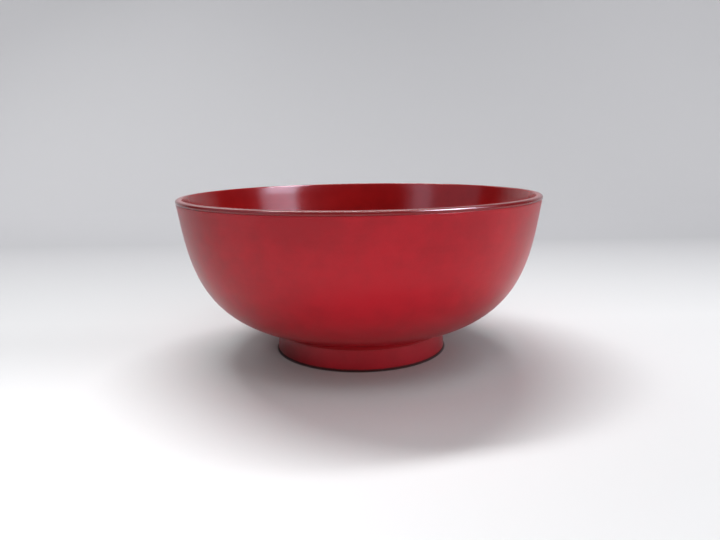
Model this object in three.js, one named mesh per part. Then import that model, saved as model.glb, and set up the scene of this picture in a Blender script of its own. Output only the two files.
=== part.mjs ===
// A Japanese rice bowl in red lacquer: one turned wooden body with its foot ring, ground coats
// bonded to the wood, and top coats over the ground. Millimetres, +Z up, the foot stands on z = 0.
//
// One outline runs through the finished bowl's surface, from the middle of the inner floor, up the
// inner wall, over the lip, down the belly, round the foot ring, and in to the middle of the
// recess under the foot. Every coat is a stretch of that outline with a thickness, and the wood
// is what lies below the coats, so all of them fit each other at any size.

import * as THREE from 'three';

// Driving dimensions of the finished bowl.
const RIM_RADIUS = 60;
const RIM_HEIGHT = 53.1;
const RIM_THICKNESS = 2.1;
const RIM_FLARE = THREE.MathUtils.degToRad(10);
const LIP_INNER_RADIUS = 0.55;
const LIP_OUTER_RADIUS = 0.7;
const LIP_TOP_SLOPE = THREE.MathUtils.degToRad(6);
const LIP_BAND = 0.4;
const BELLY_END_RADIUS = 30;
const BELLY_END_HEIGHT = 8.81;
const BELLY_END_SLOPE = THREE.MathUtils.degToRad(12.8);
const BELLY_UPPER_HANDLE = 14.8;
const BELLY_LOWER_HANDLE = 27.3;
const INNER_FLOOR_HEIGHT = 11.6;
const INNER_WALL_HANDLE = 29.8;
const INNER_FLOOR_HANDLE = 47.1;
const INNER_WALL_FLARE = THREE.MathUtils.degToRad(12);
const INNER_LIP_FLARE = THREE.MathUtils.degToRad(16.5);
const INNER_EASE_LENGTH = 3.5;

// Driving dimensions of the foot ring.
const FOOT_FILLET_RADIUS = 2;
const FOOT_FLARE = THREE.MathUtils.degToRad(5.6);
const FOOT_OUTER_EDGE_RADIUS = 0.5;
const FOOT_INNER_EDGE_RADIUS = 0.8;
const FOOT_RING_WIDTH = 3.4;
const FOOT_INNER_TAPER = THREE.MathUtils.degToRad(8);
const RECESS_FILLET_RADIUS = 1.5;
const RECESS_DEPTH = 6.2;

// Thickness of the coats, and the bond line that keeps neighbouring solids apart.
const TOP_COAT = 0.15;
const GROUND_COAT = 0.25;
const BOND_LINE = 0.02;
const GROUND_DEPTH = TOP_COAT + BOND_LINE;
const WOOD_DEPTH = GROUND_DEPTH + GROUND_COAT + BOND_LINE;

const SEGMENTS_ROUND = 48;
const QUARTER_TURN = Math.PI / 2;

const materials = {
  wood: new THREE.MeshStandardMaterial({ color: 0xb98a58, roughness: 0.8, metalness: 0 }),
  ground: new THREE.MeshStandardMaterial({ color: 0x4a3a32, roughness: 0.9, metalness: 0 }),
  insideRed: new THREE.MeshStandardMaterial({ color: 0x7e1512, roughness: 0.15, metalness: 0 }),
  outsideRed: new THREE.MeshStandardMaterial({ color: 0x9e2124, roughness: 0.3, metalness: 0 }),
  footRed: new THREE.MeshStandardMaterial({ color: 0x961f22, roughness: 0.4, metalness: 0 }),
};

const point = (radius, height) => new THREE.Vector2(radius, height);

// A point at a distance from another, in the direction of an angle from the outward radius.
function away(from, distance, angle) {
  return point(from.x + distance * Math.cos(angle), from.y + distance * Math.sin(angle));
}

function arc(centre, radius, startAngle, endAngle) {
  const clockwise = endAngle < startAngle;
  return new THREE.EllipseCurve(
    centre.x, centre.y, radius, radius, startAngle, endAngle, clockwise);
}

// The outline's stretches, each one starting where the one before it ends. The bowl's material
// lies to the right of the direction of travel.
function makeOutline() {
  // The lip has a small round inside, which holds the bowl's highest ring, a top that slopes a
  // little outward, a wider round outside, and a band below it where the inside coat ends.
  const lipInnerCentre = point(
    RIM_RADIUS - RIM_THICKNESS + LIP_INNER_RADIUS, RIM_HEIGHT - LIP_INNER_RADIUS);
  const lipStart = Math.PI - INNER_LIP_FLARE;
  const lipInside = away(lipInnerCentre, LIP_INNER_RADIUS, lipStart);
  const topOutward = QUARTER_TURN - LIP_TOP_SLOPE;
  const lipInner = arc(lipInnerCentre, LIP_INNER_RADIUS, lipStart, topOutward);

  const topStart = away(lipInnerCentre, LIP_INNER_RADIUS, topOutward);
  const topEndRadius = RIM_RADIUS - LIP_OUTER_RADIUS * (1 - Math.cos(topOutward));
  const topLength = (topEndRadius - topStart.x) / Math.cos(LIP_TOP_SLOPE);
  const topEnd = away(topStart, topLength, -LIP_TOP_SLOPE);
  const lipTop = new THREE.LineCurve(topStart, topEnd);

  const lipOuterCentre = away(topEnd, -LIP_OUTER_RADIUS, topOutward);
  const lipOuter = arc(lipOuterCentre, LIP_OUTER_RADIUS, topOutward, -RIM_FLARE);
  const bandTop = away(lipOuterCentre, LIP_OUTER_RADIUS, -RIM_FLARE);
  const bandEnd = away(bandTop, LIP_BAND, -QUARTER_TURN - RIM_FLARE);
  const lipBand = new THREE.LineCurve(bandTop, bandEnd);

  // Just under the lip the inner wall eases outward along a wide arc.
  const easeStart = Math.PI - INNER_WALL_FLARE;
  const easeRadius = INNER_EASE_LENGTH / (INNER_LIP_FLARE - INNER_WALL_FLARE);
  const easeCentre = away(lipInside, -easeRadius, lipStart);
  const innerEase = arc(easeCentre, easeRadius, easeStart, lipStart);

  const wallTop = away(easeCentre, easeRadius, easeStart);
  const floorMiddle = point(0, INNER_FLOOR_HEIGHT);
  const innerWall = new THREE.CubicBezierCurve(
    floorMiddle,
    away(floorMiddle, INNER_FLOOR_HANDLE, 0),
    away(wallTop, INNER_WALL_HANDLE, -QUARTER_TURN - INNER_WALL_FLARE),
    wallTop);

  const bellyEnd = point(BELLY_END_RADIUS, BELLY_END_HEIGHT);
  const belly = new THREE.CubicBezierCurve(
    bandEnd,
    away(bandEnd, BELLY_UPPER_HANDLE, -QUARTER_TURN - RIM_FLARE),
    away(bellyEnd, BELLY_LOWER_HANDLE, BELLY_END_SLOPE),
    bellyEnd);

  // The fillet is a hollow quarter round between the belly's underside and the foot's wall.
  const filletCentre = away(bellyEnd, FOOT_FILLET_RADIUS, BELLY_END_SLOPE - QUARTER_TURN);
  const filletStart = BELLY_END_SLOPE + QUARTER_TURN;
  const filletEnd = Math.PI + FOOT_FLARE;
  const footFillet = arc(filletCentre, FOOT_FILLET_RADIUS, filletStart, filletEnd);

  // The foot's outer wall flares down to a small round edge that is tangent to the ground.
  const footWallTop = away(filletCentre, FOOT_FILLET_RADIUS, filletEnd);
  const edgeTop = FOOT_OUTER_EDGE_RADIUS * (1 + Math.sin(FOOT_FLARE));
  const wallLength = (footWallTop.y - edgeTop) / Math.cos(FOOT_FLARE);
  const footWallFoot = away(footWallTop, wallLength, FOOT_FLARE - QUARTER_TURN);
  const footWall = new THREE.LineCurve(footWallTop, footWallFoot);
  const edgeCentre = away(footWallFoot, FOOT_OUTER_EDGE_RADIUS, Math.PI + FOOT_FLARE);
  const footEdge = arc(edgeCentre, FOOT_OUTER_EDGE_RADIUS, FOOT_FLARE, -QUARTER_TURN);

  // The ring stands on a flat face between its outer and inner edges.
  const standOutside = point(edgeCentre.x, 0);
  const innerEdgeCentre = point(
    footWallFoot.x - FOOT_RING_WIDTH + FOOT_INNER_EDGE_RADIUS, FOOT_INNER_EDGE_RADIUS);
  const standInside = point(innerEdgeCentre.x, 0);
  const stand = new THREE.LineCurve(standOutside, standInside);
  const innerEdge = arc(
    innerEdgeCentre, FOOT_INNER_EDGE_RADIUS, -QUARTER_TURN, -Math.PI + FOOT_INNER_TAPER);

  // Inside the ring, a tapered wall and a hollow round lead to the recess's flat ceiling.
  const innerWallFoot = away(
    innerEdgeCentre, FOOT_INNER_EDGE_RADIUS, Math.PI + FOOT_INNER_TAPER);
  const recessFilletBottom = RECESS_DEPTH
    - RECESS_FILLET_RADIUS * (1 - Math.sin(FOOT_INNER_TAPER));
  const innerWallLength = (recessFilletBottom - innerWallFoot.y) / Math.cos(FOOT_INNER_TAPER);
  const innerWallTop = away(innerWallFoot, innerWallLength, QUARTER_TURN + FOOT_INNER_TAPER);
  const recessWall = new THREE.LineCurve(innerWallFoot, innerWallTop);
  const recessCentre = away(innerWallTop, RECESS_FILLET_RADIUS, Math.PI + FOOT_INNER_TAPER);
  const recessFillet = arc(
    recessCentre, RECESS_FILLET_RADIUS, FOOT_INNER_TAPER, QUARTER_TURN);
  const ceiling = new THREE.LineCurve(
    point(recessCentre.x, RECESS_DEPTH), point(0, RECESS_DEPTH));

  return {
    innerWall: { curve: innerWall, steps: 8 },
    innerEase: { curve: innerEase, steps: 1 },
    lipInner: { curve: lipInner, steps: 2 },
    lipTop: { curve: lipTop, steps: 1 },
    lipOuter: { curve: lipOuter, steps: 3 },
    lipBand: { curve: lipBand, steps: 1 },
    belly: { curve: belly, steps: 7 },
    footFillet: { curve: footFillet, steps: 2 },
    footWall: { curve: footWall, steps: 1 },
    footEdge: { curve: footEdge, steps: 2 },
    stand: { curve: stand, steps: 1 },
    innerEdge: { curve: innerEdge, steps: 1 },
    recessWall: { curve: recessWall, steps: 1 },
    recessFillet: { curve: recessFillet, steps: 2 },
    ceiling: { curve: ceiling, steps: 1 },
  };
}

const outline = makeOutline();
const stretchNames = Object.keys(outline);
const firstStretch = stretchNames[0];
const lastStretch = stretchNames[stretchNames.length - 1];

// Points on the finished surface along some stretches, each with its outward normal. A coat that
// ends away from the axis stops half a bond line short of the coat next to it.
function stationsAlong(fromName, toName) {
  const wanted = stretchNames.slice(
    stretchNames.indexOf(fromName), stretchNames.indexOf(toName) + 1);
  const stations = [];
  for (const name of wanted) {
    const { curve, steps } = outline[name];
    const firstStep = name === fromName ? 0 : 1;
    for (let step = firstStep; step <= steps; step += 1) {
      const place = curve.getPoint(step / steps);
      const along = curve.getTangent(step / steps);
      stations.push({ place, along, outward: point(-along.y, along.x) });
    }
  }
  const start = stations[0];
  const end = stations[stations.length - 1];
  if (fromName !== firstStretch) start.place.addScaledVector(start.along, BOND_LINE / 2);
  if (toName !== lastStretch) end.place.addScaledVector(end.along, -BOND_LINE / 2);
  return stations;
}

function atDepth(station, depth) {
  const below = station.place.clone().addScaledVector(station.outward, -depth);
  if (station.place.x === 0) below.x = 0;
  return below;
}

// A profile in radius and height, anticlockwise round its material, turned round the axis.
function turned(profile) {
  const geometry = new THREE.LatheGeometry(profile, SEGMENTS_ROUND);
  geometry.rotateX(QUARTER_TURN);
  return geometry;
}

// A coat over some stretches, from one depth below the finished surface down to another. The
// profile goes back along the coat's top and forward along its bottom.
function coat(fromName, toName, topDepth, bottomDepth) {
  const stations = stationsAlong(fromName, toName);
  const top = stations.map((station) => atDepth(station, topDepth)).reverse();
  const bottom = stations.map((station) => atDepth(station, bottomDepth));
  if (fromName === firstStretch) return turned([...bottom, ...top]);
  if (toName === lastStretch) return turned([...top, ...bottom]);
  return turned([...top, ...bottom, top[0].clone()]);
}

function woodBody() {
  const stations = stationsAlong(firstStretch, lastStretch);
  const surface = stations.map((station) => atDepth(station, WOOD_DEPTH));
  return turned(surface.reverse());
}

function groundCoat(firstName, lastName) {
  return coat(firstName, lastName, GROUND_DEPTH, GROUND_DEPTH + GROUND_COAT);
}

function topCoat(firstName, lastName) {
  return coat(firstName, lastName, 0, TOP_COAT);
}

const bowl = new THREE.Group();

function add(name, geometry, material) {
  const mesh = new THREE.Mesh(geometry, material);
  mesh.name = name;
  bowl.add(mesh);
}

add('wood_core', woodBody(), materials.wood);
add('ground_coat_inner', groundCoat('innerWall', 'lipBand'), materials.ground);
add('ground_coat_outer', groundCoat('belly', 'footFillet'), materials.ground);
add('ground_coat_foot', groundCoat('footWall', 'ceiling'), materials.ground);
add('lacquer_inner', topCoat('innerWall', 'lipBand'), materials.insideRed);
add('lacquer_outer', topCoat('belly', 'footFillet'), materials.outsideRed);
add('lacquer_foot', topCoat('footWall', 'recessWall'), materials.footRed);
add('lacquer_foot_recess', topCoat('recessFillet', 'ceiling'), materials.footRed);

export default bowl;
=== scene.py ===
"""A red lacquered rice bowl on a pale cloth.

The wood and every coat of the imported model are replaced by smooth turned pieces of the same
outline. Lengths are in metres; the outline's driving dimensions are given in millimetres.
"""

import math

import bpy
from mathutils import Matrix, Vector


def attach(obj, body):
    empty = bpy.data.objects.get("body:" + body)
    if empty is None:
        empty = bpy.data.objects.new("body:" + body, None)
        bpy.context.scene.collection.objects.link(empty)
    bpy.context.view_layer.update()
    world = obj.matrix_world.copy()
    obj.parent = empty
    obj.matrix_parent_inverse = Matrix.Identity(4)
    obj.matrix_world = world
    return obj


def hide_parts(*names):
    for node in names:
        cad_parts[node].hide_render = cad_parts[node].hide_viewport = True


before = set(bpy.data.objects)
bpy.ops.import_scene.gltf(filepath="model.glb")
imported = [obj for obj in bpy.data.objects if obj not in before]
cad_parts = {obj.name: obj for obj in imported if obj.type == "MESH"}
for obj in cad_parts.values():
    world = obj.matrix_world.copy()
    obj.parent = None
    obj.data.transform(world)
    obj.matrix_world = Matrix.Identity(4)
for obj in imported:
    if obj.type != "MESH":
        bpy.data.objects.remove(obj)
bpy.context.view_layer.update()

MM = 0.001
MICRON = 1e-6
QUARTER_TURN = math.pi / 2

# ---------------------------------------------------------------- camera

CAMERA_PLACE = (0.0, -0.2087, 0.0681)
CAMERA_PITCH = math.radians(-11.28)
CAMERA_ROLL = math.radians(0.84)
CAMERA_LENS = 30.57
CAMERA_NEAR_LIMIT = 0.005


def add_camera():
    data = bpy.data.cameras.new("camera")
    data.lens = CAMERA_LENS
    data.clip_start = CAMERA_NEAR_LIMIT
    camera = bpy.data.objects.new("camera", data)
    facing_along_y = Matrix.Rotation(QUARTER_TURN, 4, "X")
    pitch = Matrix.Rotation(CAMERA_PITCH, 4, "X")
    roll = Matrix.Rotation(CAMERA_ROLL, 4, "Y")
    camera.matrix_world = Matrix.Translation(CAMERA_PLACE) @ pitch @ roll @ facing_along_y
    bpy.context.scene.collection.objects.link(camera)
    bpy.context.scene.camera = camera


# ---------------------------------------------------------------- outline

# The finished bowl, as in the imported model.
RIM_RADIUS = 60 * MM
RIM_HEIGHT = 53.1 * MM
RIM_THICKNESS = 2.1 * MM
RIM_FLARE = math.radians(10)
LIP_INNER_RADIUS = 0.55 * MM
LIP_OUTER_RADIUS = 0.7 * MM
LIP_TOP_SLOPE = math.radians(6)
LIP_BAND = 0.4 * MM
BELLY_END = (30 * MM, 8.81 * MM)
BELLY_END_SLOPE = math.radians(12.8)
BELLY_UPPER_HANDLE = 14.8 * MM
BELLY_LOWER_HANDLE = 27.3 * MM
INNER_FLOOR_HEIGHT = 11.6 * MM
INNER_WALL_HANDLE = 29.8 * MM
INNER_FLOOR_HANDLE = 47.1 * MM
INNER_WALL_FLARE = math.radians(12)
INNER_LIP_FLARE = math.radians(16.5)
INNER_EASE_LENGTH = 3.5 * MM
FOOT_FILLET_RADIUS = 2 * MM
FOOT_FLARE = math.radians(5.6)
FOOT_OUTER_EDGE_RADIUS = 0.5 * MM
FOOT_INNER_EDGE_RADIUS = 0.8 * MM
FOOT_RING_WIDTH = 3.4 * MM
FOOT_INNER_TAPER = math.radians(8)
RECESS_FILLET_RADIUS = 1.5 * MM
RECESS_DEPTH = 6.2 * MM

# The coats.
TOP_COAT = 0.15 * MM
GROUND_COAT = 0.25 * MM
BOND_LINE = 0.02 * MM
GROUND_DEPTH = TOP_COAT + BOND_LINE
WOOD_DEPTH = GROUND_DEPTH + GROUND_COAT + BOND_LINE

# The inside coat stops just under the lip, in a fine seam between two rounded edges.
SEAM_ABOVE = "lip_band"
SEAM_BELOW = "belly"
EDGE_ROUND = 0.09 * MM
EDGE_STEPS = 6

SEGMENTS_ROUND = 192
SHARP_TURN = math.radians(35)


def away(place, distance, angle):
    """The point at a distance from a place, in the direction of an angle from the radius."""
    return (place[0] + distance * math.cos(angle), place[1] + distance * math.sin(angle))


def station(place, heading):
    """A point of the outline and its outward normal, a quarter turn left of its heading."""
    outward = heading + QUARTER_TURN
    return {"place": place, "heading": heading, "outward": outward}


def arc(centre, radius, start, end, steps):
    turn = QUARTER_TURN if end > start else -QUARTER_TURN
    angles = [start + (end - start) * step / steps for step in range(steps + 1)]
    return [station(away(centre, radius, angle), angle + turn) for angle in angles]


def line(start, end, steps):
    heading = math.atan2(end[1] - start[1], end[0] - start[0])
    shares = [step / steps for step in range(steps + 1)]
    return [
        station(tuple(a + (b - a) * share for a, b in zip(start, end)), heading)
        for share in shares
    ]


def bezier(corners, steps):
    """Stations along a cubic curve with these four control points."""
    stations = []
    for step in range(steps + 1):
        t = step / steps
        s = 1 - t
        weights = (s**3, 3 * s * s * t, 3 * s * t * t, t**3)
        slopes = (-3 * s * s, 3 * s * s - 6 * s * t, 6 * s * t - 3 * t * t, 3 * t * t)
        place = tuple(sum(w * c[k] for w, c in zip(weights, corners)) for k in (0, 1))
        along = tuple(sum(w * c[k] for w, c in zip(slopes, corners)) for k in (0, 1))
        stations.append(station(place, math.atan2(along[1], along[0])))
    return stations


def make_outline():
    """The finished surface as named stretches, from the inner floor's middle to the recess's.

    The bowl's material lies to the right of the direction of travel.
    """
    lip_inner_radius = RIM_RADIUS - RIM_THICKNESS + LIP_INNER_RADIUS
    lip_inner_centre = (lip_inner_radius, RIM_HEIGHT - LIP_INNER_RADIUS)
    lip_start = math.pi - INNER_LIP_FLARE
    lip_inside = away(lip_inner_centre, LIP_INNER_RADIUS, lip_start)
    top_outward = QUARTER_TURN - LIP_TOP_SLOPE
    top_start = away(lip_inner_centre, LIP_INNER_RADIUS, top_outward)
    top_end_radius = RIM_RADIUS - LIP_OUTER_RADIUS * (1 - math.cos(top_outward))
    top_length = (top_end_radius - top_start[0]) / math.cos(LIP_TOP_SLOPE)
    top_end = away(top_start, top_length, -LIP_TOP_SLOPE)
    lip_outer_centre = away(top_end, -LIP_OUTER_RADIUS, top_outward)
    band_top = away(lip_outer_centre, LIP_OUTER_RADIUS, -RIM_FLARE)
    band_end = away(band_top, LIP_BAND, -QUARTER_TURN - RIM_FLARE)

    ease_start = math.pi - INNER_WALL_FLARE
    ease_radius = INNER_EASE_LENGTH / (INNER_LIP_FLARE - INNER_WALL_FLARE)
    ease_centre = away(lip_inside, -ease_radius, lip_start)
    wall_top_inside = away(ease_centre, ease_radius, ease_start)
    floor_middle = (0.0, INNER_FLOOR_HEIGHT)

    fillet_centre = away(BELLY_END, FOOT_FILLET_RADIUS, BELLY_END_SLOPE - QUARTER_TURN)
    fillet_start = BELLY_END_SLOPE + QUARTER_TURN
    fillet_end = math.pi + FOOT_FLARE

    wall_top = away(fillet_centre, FOOT_FILLET_RADIUS, fillet_end)
    edge_top = FOOT_OUTER_EDGE_RADIUS * (1 + math.sin(FOOT_FLARE))
    wall_length = (wall_top[1] - edge_top) / math.cos(FOOT_FLARE)
    wall_foot = away(wall_top, wall_length, FOOT_FLARE - QUARTER_TURN)
    edge_centre = away(wall_foot, FOOT_OUTER_EDGE_RADIUS, math.pi + FOOT_FLARE)

    inner_edge_radius = wall_foot[0] - FOOT_RING_WIDTH + FOOT_INNER_EDGE_RADIUS
    inner_edge_centre = (inner_edge_radius, FOOT_INNER_EDGE_RADIUS)
    inner_foot = away(inner_edge_centre, FOOT_INNER_EDGE_RADIUS, math.pi + FOOT_INNER_TAPER)
    inner_top_height = RECESS_DEPTH - RECESS_FILLET_RADIUS * (1 - math.sin(FOOT_INNER_TAPER))
    inner_length = (inner_top_height - inner_foot[1]) / math.cos(FOOT_INNER_TAPER)
    inner_top = away(inner_foot, inner_length, QUARTER_TURN + FOOT_INNER_TAPER)
    recess_centre = away(inner_top, RECESS_FILLET_RADIUS, math.pi + FOOT_INNER_TAPER)

    inner_wall = (
        floor_middle,
        away(floor_middle, INNER_FLOOR_HANDLE, 0),
        away(wall_top_inside, INNER_WALL_HANDLE, -QUARTER_TURN - INNER_WALL_FLARE),
        wall_top_inside,
    )
    belly = (
        band_end,
        away(band_end, BELLY_UPPER_HANDLE, -QUARTER_TURN - RIM_FLARE),
        away(BELLY_END, BELLY_LOWER_HANDLE, BELLY_END_SLOPE),
        BELLY_END,
    )
    inner_edge_end = -math.pi + FOOT_INNER_TAPER
    return {
        "inner_wall": bezier(inner_wall, steps=72),
        "inner_ease": arc(ease_centre, ease_radius, ease_start, lip_start, steps=12),
        "lip_inner": arc(lip_inner_centre, LIP_INNER_RADIUS, lip_start, top_outward, steps=12),
        "lip_top": line(top_start, top_end, steps=3),
        "lip_outer": arc(lip_outer_centre, LIP_OUTER_RADIUS, top_outward, -RIM_FLARE, steps=16),
        "lip_band": line(band_top, band_end, steps=6),
        "belly": bezier(belly, steps=72),
        "foot_fillet": arc(
            fillet_centre, FOOT_FILLET_RADIUS, fillet_start, fillet_end, steps=12
        ),
        "foot_wall": line(wall_top, wall_foot, steps=8),
        "foot_edge": arc(
            edge_centre, FOOT_OUTER_EDGE_RADIUS, FOOT_FLARE, -QUARTER_TURN, steps=8
        ),
        "stand": line((edge_centre[0], 0.0), (inner_edge_radius, 0.0), steps=2),
        "inner_edge": arc(
            inner_edge_centre, FOOT_INNER_EDGE_RADIUS, -QUARTER_TURN, inner_edge_end, steps=8
        ),
        "recess_wall": line(inner_foot, inner_top, steps=4),
        "recess_fillet": arc(
            recess_centre, RECESS_FILLET_RADIUS, FOOT_INNER_TAPER, QUARTER_TURN, steps=8
        ),
        "ceiling": line((recess_centre[0], RECESS_DEPTH), (0.0, RECESS_DEPTH), steps=12),
    }


OUTLINE = make_outline()
STRETCHES = list(OUTLINE)


def stations_along(first, last):
    """The stations of some stretches, ending half a bond line short of the next coat."""
    wanted = STRETCHES[STRETCHES.index(first) : STRETCHES.index(last) + 1]
    stations = []
    for name in wanted:
        stretch = OUTLINE[name]
        stations += stretch if name == first else stretch[1:]
    stations = [dict(one) for one in stations]
    if first != STRETCHES[0]:
        start = stations[0]
        start["place"] = away(start["place"], BOND_LINE / 2, start["heading"])
    if last != STRETCHES[-1]:
        end = stations[-1]
        end["place"] = away(end["place"], -BOND_LINE / 2, end["heading"])
    return stations


def at_depth(one, depth):
    radius, height = away(one["place"], -depth, one["outward"])
    return (0.0 if one["place"][0] == 0 else radius, height)


def rounded_edge(edge, depth, inwards):
    """Stations that roll a coat's top over its edge, a quarter round down to this depth."""
    rolled = []
    for step in range(EDGE_STEPS + 1):
        angle = QUARTER_TURN * step / EDGE_STEPS
        back = EDGE_ROUND * (1 - math.sin(angle))
        place = away(edge["place"], inwards * back, edge["heading"])
        drop = depth * (1 - math.cos(angle))
        rolled.append(away(place, -drop, edge["outward"]))
    return rolled


def top_coat_profile(first, last):
    """A top coat's section, anticlockwise round its material, rounded at the lip's seam."""
    stations = stations_along(first, last)
    top = [at_depth(one, 0.0) for one in stations]
    bottom = [at_depth(one, TOP_COAT) for one in stations]
    if last == SEAM_ABOVE:
        kept = [place for place in top if math.dist(place, top[-1]) > EDGE_ROUND]
        top = kept + rounded_edge(stations[-1], TOP_COAT, -1)[:-1]
    if first == SEAM_BELOW:
        kept = [place for place in top if math.dist(place, top[0]) > EDGE_ROUND]
        top = rounded_edge(stations[0], TOP_COAT, 1)[-2::-1] + kept
    top.reverse()
    return bottom + top if first == STRETCHES[0] else top + bottom


def ground_coat_profile(first, last):
    stations = stations_along(first, last)
    top = [at_depth(one, GROUND_DEPTH) for one in reversed(stations)]
    bottom = [at_depth(one, GROUND_DEPTH + GROUND_COAT) for one in stations]
    return bottom + top if first == STRETCHES[0] else top + bottom


def wood_profile():
    stations = stations_along(STRETCHES[0], STRETCHES[-1])
    return [at_depth(one, WOOD_DEPTH) for one in reversed(stations)]


def turned_mesh(name, profile):
    """A closed smooth mesh from a section, which is a loop or starts and ends on the axis."""
    on_axis = [radius == 0 for radius, _ in profile]
    vertices = []
    rings = []
    for (radius, height), pole in zip(profile, on_axis):
        count = 1 if pole else SEGMENTS_ROUND
        rings.append([len(vertices) + k for k in range(count)])
        for k in range(count):
            angle = 2 * math.pi * k / SEGMENTS_ROUND
            vertices.append((radius * math.cos(angle), radius * math.sin(angle), height))
    pairs = list(zip(rings, rings[1:]))
    if not on_axis[0]:
        pairs.append((rings[-1], rings[0]))
    faces = []
    for low, high in pairs:
        for k in range(SEGMENTS_ROUND):
            after = (k + 1) % SEGMENTS_ROUND
            if len(low) == 1:
                faces.append((low[0], high[after], high[k]))
            elif len(high) == 1:
                faces.append((low[k], low[after], high[0]))
            else:
                faces.append((low[k], low[after], high[after], high[k]))
    mesh = bpy.data.meshes.new(name)
    mesh.from_pydata(vertices, [], faces)
    mesh.shade_smooth()
    mesh.set_sharp_from_angle(angle=SHARP_TURN)
    mesh.update()
    return mesh


# ---------------------------------------------------------------- materials


class Nodes:
    """A new material's node tree, with short calls for adding nodes to it."""

    def __init__(self, name):
        self.material = bpy.data.materials.new(name)
        self.material.use_nodes = True
        self.tree = self.material.node_tree
        self.tree.nodes.clear()
        self.shader = self.tree.nodes.new("ShaderNodeBsdfPrincipled")
        output = self.tree.nodes.new("ShaderNodeOutputMaterial")
        self.link(self.shader.outputs["BSDF"], output.inputs["Surface"])
        self.place = self.tree.nodes.new("ShaderNodeTexCoord").outputs["Object"]

    def link(self, source, target):
        self.tree.links.new(source, target)

    def give(self, socket, value):
        if isinstance(value, bpy.types.NodeSocket):
            self.link(value, socket)
        else:
            socket.default_value = value

    def scaled(self, factors):
        """The object's coordinates, times a factor along each axis."""
        node = self.tree.nodes.new("ShaderNodeVectorMath")
        node.operation = "MULTIPLY"
        self.link(self.place, node.inputs[0])
        node.inputs[1].default_value = factors
        return node.outputs[0]

    def noise(self, size, detail=2.0, vector=None, offset=0.0):
        """Soft noise whose blobs are about this size, from 0 to 1."""
        node = self.tree.nodes.new("ShaderNodeTexNoise")
        node.noise_dimensions = "4D"
        self.link(self.place if vector is None else vector, node.inputs["Vector"])
        node.inputs["W"].default_value = offset
        node.inputs["Scale"].default_value = 1 / size
        node.inputs["Detail"].default_value = detail
        return node.outputs["Fac"]

    def spots(self, spacing):
        """Distance to the nearest of some scattered points, in spacings."""
        node = self.tree.nodes.new("ShaderNodeTexVoronoi")
        self.link(self.place, node.inputs["Vector"])
        node.inputs["Scale"].default_value = 1 / spacing
        return node.outputs["Distance"]

    def math(self, operation, first, second=0.0, third=0.0):
        node = self.tree.nodes.new("ShaderNodeMath")
        node.operation = operation
        for socket, value in zip(node.inputs, (first, second, third)):
            self.give(socket, value)
        return node.outputs[0]

    def ramp(self, value, low, high, out_low, out_high, smooth=True):
        node = self.tree.nodes.new("ShaderNodeMapRange")
        node.interpolation_type = "SMOOTHSTEP" if smooth else "LINEAR"
        self.give(node.inputs["Value"], value)
        for name, number in (
            ("From Min", low),
            ("From Max", high),
            ("To Min", out_low),
            ("To Max", out_high),
        ):
            node.inputs[name].default_value = number
        return node.outputs["Result"]

    def mix(self, share, first, second):
        node = self.tree.nodes.new("ShaderNodeMix")
        node.data_type = "RGBA"
        self.give(node.inputs["Factor"], share)
        self.give(node.inputs["A"], first)
        self.give(node.inputs["B"], second)
        return node.outputs["Result"]

    def height(self):
        node = self.tree.nodes.new("ShaderNodeSeparateXYZ")
        self.link(self.place, node.inputs[0])
        return node.outputs["Z"]

    def radius(self):
        """Distance from the bowl's axis."""
        node = self.tree.nodes.new("ShaderNodeVectorMath")
        node.operation = "LENGTH"
        self.link(self.scaled((1.0, 1.0, 0.0)), node.inputs[0])
        return node.outputs["Value"]

    def bump(self, height, depth, under=None):
        """Bumps this many metres deep for a height from 0 to 1, on top of others."""
        node = self.tree.nodes.new("ShaderNodeBump")
        node.inputs["Strength"].default_value = 1.0
        node.inputs["Distance"].default_value = depth
        self.link(height, node.inputs["Height"])
        if under is not None:
            self.link(under, node.inputs["Normal"])
        return node.outputs["Normal"]


def rgb(red, green, blue):
    return (red, green, blue, 1.0)


# Each noise of a material has its own offset, so that no two patterns are alike.

# The patterns in the lacquer's tone: size and share. Brush marks run round the bowl.
CLOUD_SIZE = 26 * MM
MOTTLING_SIZE = 4 * MM
GRAIN_SIZE = 0.35 * MM
BRUSH_STRETCH = (45, 45, 700)
CLOUD_SHARE = 0.55
MOTTLING_SHARE = 0.25
GRAIN_SHARE = 0.12
BRUSH_SHARE = 0.08
TONE_LOW = 0.36
TONE_HIGH = 0.64
ROUGHNESS_SWAY = 0.03
LACQUER_IOR = 1.5

# The lacquer's relief, apart from the depth of its orange peel.
PEEL_SIZE = 4.5 * MM
BRUSH_DEPTH = 0.15 * MICRON
NIB_SPACING = 9 * MM
NIB_RADIUS = 0.016
NIB_HEIGHT = 5 * MICRON

# Wear along the foot's bottom edge, darkened further there as painted contact shade.
WEAR_SIZE = 0.8 * MM
WEAR_RAGGEDNESS = 0.4
WEAR_START = 0.55
WEAR_FULL = 0.75
WEAR_SHARE = 0.9
WORN_ROUGHNESS = 0.35
WEAR_AND_SHADE_COLOUR = rgb(0.03, 0.010, 0.008)

# Painted shade in the fillet under the belly and on the lower belly, where little light reaches.
FILLET_SHADE_FADE = 1.2 * MM
BELLY_SHADE_SHARE = 0.7
BELLY_SHADE_ENDS_AT = 30 * MM
FILLET_SHADE_COLOUR = rgb(0.24, 0.003, 0.006)

# Painted shade round the lip: a dark band at its outer edge and a slight one from just inside it.
LIP_EDGE_SHADE_FADE = 0.4 * MM
LIP_SHADE_START = 2.7 * MM
LIP_SHADE_END = 1.3 * MM
LIP_SHADE_SHARE = 0.33
LIP_PAINTED_SHADE_COLOUR = rgb(0.19, 0.003, 0.005)


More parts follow.
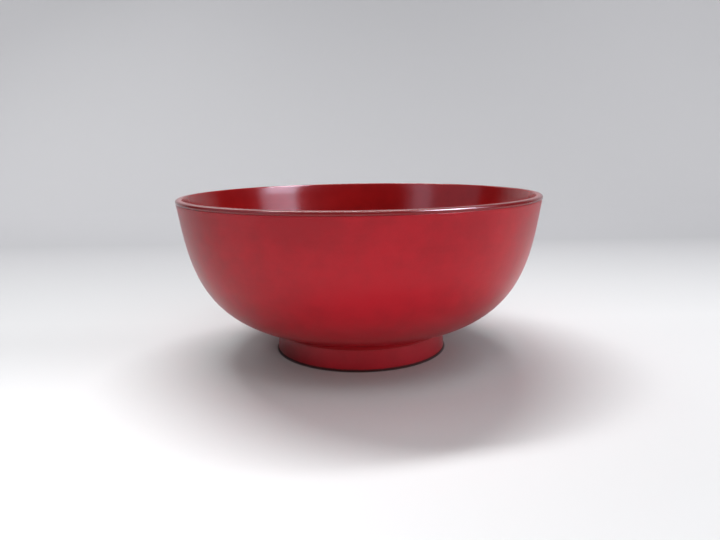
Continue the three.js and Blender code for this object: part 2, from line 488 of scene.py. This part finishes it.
def lacquer_tone(n, clouds, mottling, brush_lines):
    """How light the lacquer's pigment is at each place, from 0 to 1."""
    grain = n.noise(GRAIN_SIZE, 2.0, offset=3.0)
    patches = n.math("MULTIPLY", mottling, MOTTLING_SHARE)
    tone = n.math("MULTIPLY_ADD", clouds, CLOUD_SHARE, patches)
    tone = n.math("MULTIPLY_ADD", grain, GRAIN_SHARE, tone)
    tone = n.math("MULTIPLY_ADD", brush_lines, BRUSH_SHARE, tone)
    return n.ramp(tone, TONE_LOW, TONE_HIGH, 0.0, 1.0)


def wear_and_shade_share(n, wear_and_shade_below):
    """A ragged dark edge along the bottom, at most this high: wear, and painted contact shade
    where the foot stands.
    """
    wear_noise = n.noise(WEAR_SIZE, 3.0, offset=5.0)
    low = n.ramp(n.height(), 0.0, wear_and_shade_below, 1.0, 0.0)
    wear = n.math("MULTIPLY_ADD", wear_noise, WEAR_RAGGEDNESS, low)
    return n.ramp(wear, WEAR_START, WEAR_FULL, 0.0, WEAR_SHARE)


def fillet_shade_share(n, painted_shade_below):
    """Painted shade: full in the fillet, less just above it, and fading out up the lower belly."""
    fillet_shade = n.ramp(
        n.height(), painted_shade_below, painted_shade_below + FILLET_SHADE_FADE, 1.0, BELLY_SHADE_SHARE
    )
    belly_shade = n.ramp(n.height(), painted_shade_below, BELLY_SHADE_ENDS_AT, 1.0, 0.0)
    return n.math("MULTIPLY", fillet_shade, belly_shade)


def lip_painted_shade_share(n, lip_shade_beyond):
    """Painted shade: full round the lip's outer edge, and slight from just inside the lip
    outwards.
    """
    start = lip_shade_beyond - LIP_SHADE_START
    end = lip_shade_beyond - LIP_SHADE_END
    near_lip = n.ramp(n.radius(), start, end, 0.0, LIP_SHADE_SHARE)
    outer_edge_shade = n.ramp(n.radius(), lip_shade_beyond, lip_shade_beyond + LIP_EDGE_SHADE_FADE, 0.0, 1.0)
    return n.math("MAXIMUM", near_lip, outer_edge_shade)


def lacquer(
    name,
    colour,
    deep_colour,
    roughness,
    peel,
    specular,
    wear_and_shade_below=None,
    lip_shade_beyond=None,
    painted_shade_below=None,
):
    """Brushed red lacquer: clouding, pigment grain, brush lines, orange peel and dust nibs.

    It may be worn and darkened by painted contact shade below some height, darkened by painted
    shade in the fillet below another and up the lower belly, or darkened by painted shade beyond
    some radius, round the lip's outer edge.
    """
    n = Nodes(name)
    clouds = n.noise(CLOUD_SIZE, 3.0, offset=10.2)
    mottling = n.noise(MOTTLING_SIZE, 2.0, offset=2.0)
    brush_lines = n.noise(1.0, 2.0, vector=n.scaled(BRUSH_STRETCH), offset=4.0)
    red = n.mix(lacquer_tone(n, clouds, mottling, brush_lines), deep_colour, colour)
    rough = n.math("MULTIPLY_ADD", mottling, ROUGHNESS_SWAY, roughness - ROUGHNESS_SWAY)
    rough = n.math("MULTIPLY_ADD", brush_lines, ROUGHNESS_SWAY, rough)
    # Darker along the foot's bottom edge: wear, and painted contact shade.
    if wear_and_shade_below is not None:
        wear_and_shade = wear_and_shade_share(n, wear_and_shade_below)
        red = n.mix(wear_and_shade, red, WEAR_AND_SHADE_COLOUR)
        rough = n.math("MULTIPLY_ADD", wear_and_shade, WORN_ROUGHNESS, rough)
    # Painted shade in the fillet and up the lower belly.
    if painted_shade_below is not None:
        red = n.mix(fillet_shade_share(n, painted_shade_below), red, FILLET_SHADE_COLOUR)
    # Painted shade round the lip.
    if lip_shade_beyond is not None:
        red = n.mix(lip_painted_shade_share(n, lip_shade_beyond), red, LIP_PAINTED_SHADE_COLOUR)
    n.link(red, n.shader.inputs["Base Color"])
    n.link(rough, n.shader.inputs["Roughness"])
    n.shader.inputs["IOR"].default_value = LACQUER_IOR
    n.shader.inputs["Specular IOR Level"].default_value = specular

    peel_noise = n.noise(PEEL_SIZE, 0.0, offset=6.0)
    nibs = n.ramp(n.spots(NIB_SPACING), 0.0, NIB_RADIUS, 1.0, 0.0)
    normal = n.bump(peel_noise, peel)
    normal = n.bump(brush_lines, BRUSH_DEPTH, normal)
    normal = n.bump(nibs, NIB_HEIGHT, normal)
    n.link(normal, n.shader.inputs["Normal"])
    return n.material


EARTH_PATCH_SIZE = 9 * MM
EARTH_DARK = rgb(0.050, 0.030, 0.022)
EARTH_LIGHT = rgb(0.095, 0.060, 0.045)
EARTH_PORE = rgb(0.022, 0.014, 0.011)
EARTH_PORE_SPACING = 0.7 * MM
EARTH_PORE_RADIUS = 0.3
EARTH_PORE_DEPTH = 25 * MICRON
SANDING_STRETCH = (90, 90, 2600)
SANDING_DEPTH = 8 * MICRON
EARTH_SMOOTHEST = 0.7
EARTH_ROUGHEST = 0.92


def ground_coat():
    """Rubbed-down ground: dark earth in lacquer, with fine pores and sanding lines."""
    n = Nodes("ground_coat")
    patches = n.noise(EARTH_PATCH_SIZE, 3.0, offset=1.0)
    pores = n.ramp(n.spots(EARTH_PORE_SPACING), 0.0, EARTH_PORE_RADIUS, 1.0, 0.0)
    sanding = n.noise(1.0, 2.0, vector=n.scaled(SANDING_STRETCH), offset=2.0)
    earth = n.mix(patches, EARTH_DARK, EARTH_LIGHT)
    earth = n.mix(pores, earth, EARTH_PORE)
    n.link(earth, n.shader.inputs["Base Color"])
    rough = n.ramp(sanding, 0.3, 0.7, EARTH_SMOOTHEST, EARTH_ROUGHEST)
    n.link(rough, n.shader.inputs["Roughness"])
    normal = n.bump(sanding, SANDING_DEPTH)
    normal = n.bump(n.math("SUBTRACT", 1.0, pores), EARTH_PORE_DEPTH, normal)
    n.link(normal, n.shader.inputs["Normal"])
    return n.material


# The tree's heart runs along Y, beside the bowl and below it.
HEART_X = 0.05
HEART_Z = -0.09
GROWTH_RING = 2.2 * MM
RING_WOBBLE_SIZE = 24 * MM
RING_WOBBLE = 3.0
LATEWOOD_START = 0.55
EARLYWOOD = rgb(0.50, 0.29, 0.13)
LATEWOOD = rgb(0.30, 0.15, 0.06)
WOOD_PORE = rgb(0.20, 0.10, 0.045)
WOOD_PORE_SHARE = 0.5
FIBRE_STRETCH = (1400, 60, 1400)
FIBRE_DEPTH = 20 * MICRON
WOOD_SMOOTHEST = 0.62
WOOD_ROUGHEST = 0.85
TOOL_LINE_STRETCH = (20, 20, 1800)
TOOL_LINE_DEPTH = 12 * MICRON


def turned_wood():
    """Fine hardwood cut across the block, with growth rings, pores and turning lines."""
    n = Nodes("turned_wood")
    wobble = n.noise(RING_WOBBLE_SIZE, 2.0, offset=1.0)
    split = n.tree.nodes.new("ShaderNodeSeparateXYZ")
    n.link(n.place, split.inputs[0])
    across = n.math("POWER", n.math("SUBTRACT", split.outputs["X"], HEART_X), 2.0)
    upward = n.math("POWER", n.math("SUBTRACT", split.outputs["Z"], HEART_Z), 2.0)
    from_heart = n.math("SQRT", n.math("ADD", across, upward))
    rings_out = n.math("MULTIPLY", from_heart, 1 / GROWTH_RING)
    ring = n.math("MULTIPLY_ADD", wobble, RING_WOBBLE, rings_out)
    latewood = n.ramp(n.math("FRACT", ring), LATEWOOD_START, 1.0, 0.0, 1.0)
    fibres = n.noise(1.0, 3.0, vector=n.scaled(FIBRE_STRETCH), offset=2.0)
    colour = n.mix(latewood, EARLYWOOD, LATEWOOD)
    pores = n.ramp(fibres, 0.45, 0.75, 0.0, WOOD_PORE_SHARE)
    colour = n.mix(pores, colour, WOOD_PORE)
    n.link(colour, n.shader.inputs["Base Color"])
    rough = n.ramp(fibres, 0.3, 0.7, WOOD_SMOOTHEST, WOOD_ROUGHEST)
    n.link(rough, n.shader.inputs["Roughness"])
    tool_lines = n.noise(1.0, 1.0, vector=n.scaled(TOOL_LINE_STRETCH), offset=3.0)
    normal = n.bump(fibres, FIBRE_DEPTH)
    normal = n.bump(tool_lines, TOOL_LINE_DEPTH, normal)
    n.link(normal, n.shader.inputs["Normal"])
    return n.material


# ---------------------------------------------------------------- pieces


def add_piece(name, profile, material, node):
    piece = bpy.data.objects.new(name, turned_mesh(name, profile))
    piece.data.materials.append(material)
    bpy.context.scene.collection.objects.link(piece)
    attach(piece, "root")
    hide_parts(node)
    return piece


def add_top_coat(name, first, last, material):
    profile = top_coat_profile(first, last)
    add_piece(name + "_turned", profile, material, name)


def add_ground_coat(name, first, last, material):
    profile = ground_coat_profile(first, last)
    add_piece(name + "_turned", profile, material, name)


def add_bowl():
    inside = lacquer(
        "lacquer_inside",
        rgb(0.390, 0.005, 0.006),
        rgb(0.310, 0.003, 0.004),
        roughness=0.18,
        peel=3 * MICRON,
        specular=0.5,
        lip_shade_beyond=59.0 * MM,
    )
    outside = lacquer(
        "lacquer_outside",
        rgb(0.425, 0.007, 0.016),
        rgb(0.312, 0.005, 0.012),
        roughness=0.29,
        peel=2 * MICRON,
        specular=0.25,
        painted_shade_below=8.6 * MM,
    )
    foot = lacquer(
        "lacquer_foot",
        rgb(0.355, 0.007, 0.015),
        rgb(0.260, 0.005, 0.011),
        roughness=0.30,
        peel=3 * MICRON,
        specular=0.3,
        wear_and_shade_below=1.5 * MM,
    )
    ground = ground_coat()
    add_top_coat("lacquer_inner", "inner_wall", "lip_band", inside)
    add_top_coat("lacquer_outer", "belly", "foot_fillet", outside)
    add_top_coat("lacquer_foot", "foot_wall", "recess_wall", foot)
    add_top_coat("lacquer_foot_recess", "recess_fillet", "ceiling", foot)
    add_ground_coat("ground_coat_inner", "inner_wall", "lip_band", ground)
    add_ground_coat("ground_coat_outer", "belly", "foot_fillet", ground)
    add_ground_coat("ground_coat_foot", "foot_wall", "ceiling", ground)
    add_piece("wood_core_turned", wood_profile(), turned_wood(), "wood_core")


# ---------------------------------------------------------------- stage and light

FLOOR_FRONT = -2.0
SWEEP_START = 0.45
SWEEP_RADIUS = 0.5
SWEEP_TOP = 1.6
SWEEP_HALF_WIDTH = 1.3
SWEEP_STEPS = 32

# Painted light and shade on the cloth: its tones by place stand in for how the lamps' light falls
# on the floor. Left and right are as the camera sees them.
FRONT_LEFT = rgb(0.90, 0.91, 0.92)
FRONT_RIGHT = rgb(0.74, 0.75, 0.76)
MIDDLE_LEFT = rgb(0.63, 0.635, 0.645)
MIDDLE_RIGHT = rgb(0.70, 0.705, 0.715)
BACK = rgb(0.385, 0.385, 0.40)
BEHIND_CAMERA = rgb(0.42, 0.42, 0.42)
# Painted light: paler, blue-green cloth in the bowl's shadow.
UNDER_BOWL_PAINTED_LIGHT = rgb(0.78, 0.93, 0.93)
# Painted contact shadow at the foot's edge.
CONTACT_SHADOW_COLOUR = rgb(0.04, 0.04, 0.04)

# Where one tone gives way to the next: across, in depth, or out from the bowl's axis.
LEFT_TO_RIGHT = (-0.06, 0.09)
BEHIND_TO_FRONT = (-0.65, -0.20)
FRONT_TO_MIDDLE = (-0.08, 0.01)
MIDDLE_TO_BACK = (0.03, 0.24)
SHELTER_TO_OPEN = (38 * MM, 62 * MM)
SHELTER_LEFT_TO_RIGHT = (-0.03, 0.04)
SHELTER_FRONT_TO_BACK = (0.0, 0.035)
CONTACT_SHADOW_TO_CLEAR = (29.1 * MM, 29.7 * MM)
SHELTER_LEFT_SHARE = 0.5
SHELTER_RIGHT_SHARE = 0.9
CONTACT_SHADOW_SHARE = 0.85


def cloth():
    """Pale cloth with painted light and shade: lightest in front, darker towards the back and
    behind the camera.

    Before and beside the foot it is painted lighter and leans to blue-green, which offsets the red
    light off the bowl.
    A dark ring at the foot's edge is a painted contact shadow.
    """
    n = Nodes("cloth")
    split = n.tree.nodes.new("ShaderNodeSeparateXYZ")
    n.link(n.place, split.inputs[0])
    across = split.outputs["X"]
    depth = split.outputs["Y"]
    # Painted light and shade: the floor's tones by place, lightest in front.
    right = n.ramp(across, *LEFT_TO_RIGHT, 0.0, 1.0)
    front = n.mix(right, FRONT_LEFT, FRONT_RIGHT)
    middle = n.mix(right, MIDDLE_LEFT, MIDDLE_RIGHT)
    pale = n.mix(n.ramp(depth, *FRONT_TO_MIDDLE, 0.0, 1.0), front, middle)
    far = n.ramp(depth, *MIDDLE_TO_BACK, 0.0, 1.0, smooth=False)
    pale = n.mix(far, pale, BACK)
    ahead = n.ramp(depth, *BEHIND_TO_FRONT, 0.0, 1.0)
    pale = n.mix(ahead, BEHIND_CAMERA, pale)

    # Painted light under the bowl: the cloth in its shadow is made paler, more so on the right.
    lighter_under_bowl = n.ramp(n.radius(), *SHELTER_TO_OPEN, 1.0, 0.0)
    by_side = n.ramp(
        across, *SHELTER_LEFT_TO_RIGHT, SHELTER_LEFT_SHARE, SHELTER_RIGHT_SHARE
    )
    lighter_under_bowl = n.math("MULTIPLY", lighter_under_bowl, by_side)
    by_depth = n.ramp(depth, *SHELTER_FRONT_TO_BACK, 1.0, 0.0)
    lighter_under_bowl = n.math("MULTIPLY", lighter_under_bowl, by_depth)
    pale = n.mix(lighter_under_bowl, pale, UNDER_BOWL_PAINTED_LIGHT)
    # Painted contact shadow: a dark ring on the cloth round the foot.
    contact_shadow = n.ramp(n.radius(), *CONTACT_SHADOW_TO_CLEAR, CONTACT_SHADOW_SHARE, 0.0)
    pale = n.mix(contact_shadow, pale, CONTACT_SHADOW_COLOUR)
    n.link(pale, n.shader.inputs["Base Color"])
    n.shader.inputs["Roughness"].default_value = 0.8
    n.shader.inputs["Specular IOR Level"].default_value = 0.2
    return n.material


def add_sweep():
    """The floor and the backdrop, in one sheet that curves up behind the bowl."""
    section = [(FLOOR_FRONT, 0.0), (SWEEP_START, 0.0)]
    curve_centre = (SWEEP_START, SWEEP_RADIUS)
    for step in range(1, SWEEP_STEPS + 1):
        angle = QUARTER_TURN * step / SWEEP_STEPS
        section.append(away(curve_centre, SWEEP_RADIUS, angle - QUARTER_TURN))
    section.append((SWEEP_START + SWEEP_RADIUS, SWEEP_TOP))
    vertices = [(side, y, z) for y, z in section for side in (-SWEEP_HALF_WIDTH, SWEEP_HALF_WIDTH)]
    faces = [(2 * k, 2 * k + 1, 2 * k + 3, 2 * k + 2) for k in range(len(section) - 1)]
    mesh = bpy.data.meshes.new("sweep")
    mesh.from_pydata(vertices, [], faces)
    mesh.shade_smooth()
    mesh.materials.append(cloth())
    sweep = bpy.data.objects.new("sweep", mesh)
    bpy.context.scene.collection.objects.link(sweep)


BOWL_MIDDLE = (0.0, 0.0, 0.03)
BACKDROP_LEFT = (-0.7, 0.9, 0.36)
BACKDROP_RIGHT = (0.7, 0.9, 0.36)
WHITE = (1.0, 1.0, 1.0)
DAYLIGHT = (0.97, 0.97, 1.2)


def add_lamp(
    name, azimuth, elevation, distance, width, height, radiance, use="both", target=BOWL_MIDDLE
):
    """A soft rectangular lamp that faces its target. Azimuth 0 is the front, 90 the right.

    A lamp used for glints only shows in reflections. One used for wash mostly lights surfaces.
    """
    data = bpy.data.lights.new(name, "AREA")
    data.shape = "RECTANGLE"
    data.size = width
    data.size_y = height
    data.energy = radiance * math.pi * width * height
    data.color = DAYLIGHT if use == "glints" else WHITE
    turn = math.radians(azimuth)
    rise = math.radians(elevation)
    direction = Vector(
        (
            math.sin(turn) * math.cos(rise),
            -math.cos(turn) * math.cos(rise),
            math.sin(rise),
        )
    )
    lamp = bpy.data.objects.new(name, data)
    lamp.location = Vector(target) + direction * distance
    lamp.rotation_euler = direction.to_track_quat("Z", "Y").to_euler()
    lamp.visible_camera = False
    lamp.visible_diffuse = use != "glints"
    lamp.visible_glossy = use != "wash"
    bpy.context.scene.collection.objects.link(lamp)


# The world's brightness by the height of a ray's direction, and where it is seen itself.
DIM_BELOW = 0.4
BRIGHT_ABOVE = 0.95
DIM_STRENGTH = 0.06
BRIGHT_STRENGTH = 0.6
SEEN_STRENGTH = 0.5


def add_world():
    """Dim near the horizon, brighter overhead, and a plain pale grey where it is seen itself."""
    world = bpy.data.worlds.new("studio")
    bpy.context.scene.world = world
    world.use_nodes = True
    tree = world.node_tree
    tree.nodes.clear()
    place = tree.nodes.new("ShaderNodeTexCoord")
    split = tree.nodes.new("ShaderNodeSeparateXYZ")
    tree.links.new(place.outputs["Generated"], split.inputs[0])
    ramp = tree.nodes.new("ShaderNodeMapRange")
    ramp.interpolation_type = "SMOOTHSTEP"
    tree.links.new(split.outputs["Z"], ramp.inputs["Value"])
    ramp.inputs["From Min"].default_value = DIM_BELOW
    ramp.inputs["From Max"].default_value = BRIGHT_ABOVE
    ramp.inputs["To Min"].default_value = DIM_STRENGTH
    ramp.inputs["To Max"].default_value = BRIGHT_STRENGTH
    rays = tree.nodes.new("ShaderNodeLightPath")
    pick = tree.nodes.new("ShaderNodeMix")
    tree.links.new(rays.outputs["Is Camera Ray"], pick.inputs["Factor"])
    tree.links.new(ramp.outputs["Result"], pick.inputs["A"])
    pick.inputs["B"].default_value = SEEN_STRENGTH
    background = tree.nodes.new("ShaderNodeBackground")
    tree.links.new(pick.outputs["Result"], background.inputs["Strength"])
    background.inputs["Color"].default_value = (*WHITE, 1.0)
    output = tree.nodes.new("ShaderNodeOutputWorld")
    tree.links.new(background.outputs[0], output.inputs["Surface"])


def add_light():
    # The main lamp, which casts the shadow forwards from above, and two weak ones: one in front
    # of it and one behind the bowl on the left.
    add_lamp("overhead", 195, 67.5, 0.9, width=0.76, height=0.10, radiance=32)
    add_lamp("overhead_front", 10, 66, 1.0, width=0.4, height=0.3, radiance=2.2)
    add_lamp("back_left", -150, 37, 1.0, width=0.4, height=0.35, radiance=2.2)

    # Light without glints: a low one on the belly, and one on each half of the backdrop.
    add_lamp("front_right_low", 30, 6, 1.0, width=0.5, height=0.18, radiance=15.2, use="wash")
    for name, radiance, target in (
        ("backdrop_left", 6.4, BACKDROP_LEFT),
        ("backdrop_right", 6.0, BACKDROP_RIGHT),
    ):
        add_lamp(name, 0, 20, 0.6, 0.4, 0.4, radiance, "wash", target)

    # Glints: the window on the right, brightest at its top, and the paler room on the left.
    add_lamp("right_window", 68, 28, 1.0, width=0.52, height=0.50, radiance=2.8, use="glints")
    add_lamp("window_low", 65.5, 29, 0.98, width=0.42, height=0.28, radiance=6.5, use="glints")
    add_lamp("window_high", 67, 46, 0.98, width=0.40, height=0.31, radiance=52, use="glints")
    add_lamp("left_strip", -53, 25, 1.0, width=0.25, height=0.6, radiance=1.2, use="glints")
    add_lamp("left_wall", -72, 24, 1.0, width=1.2, height=0.9, radiance=0.45, use="glints")


add_camera()
add_bowl()
add_sweep()
add_light()
add_world()
bpy.context.scene.view_settings.view_transform = "Standard"
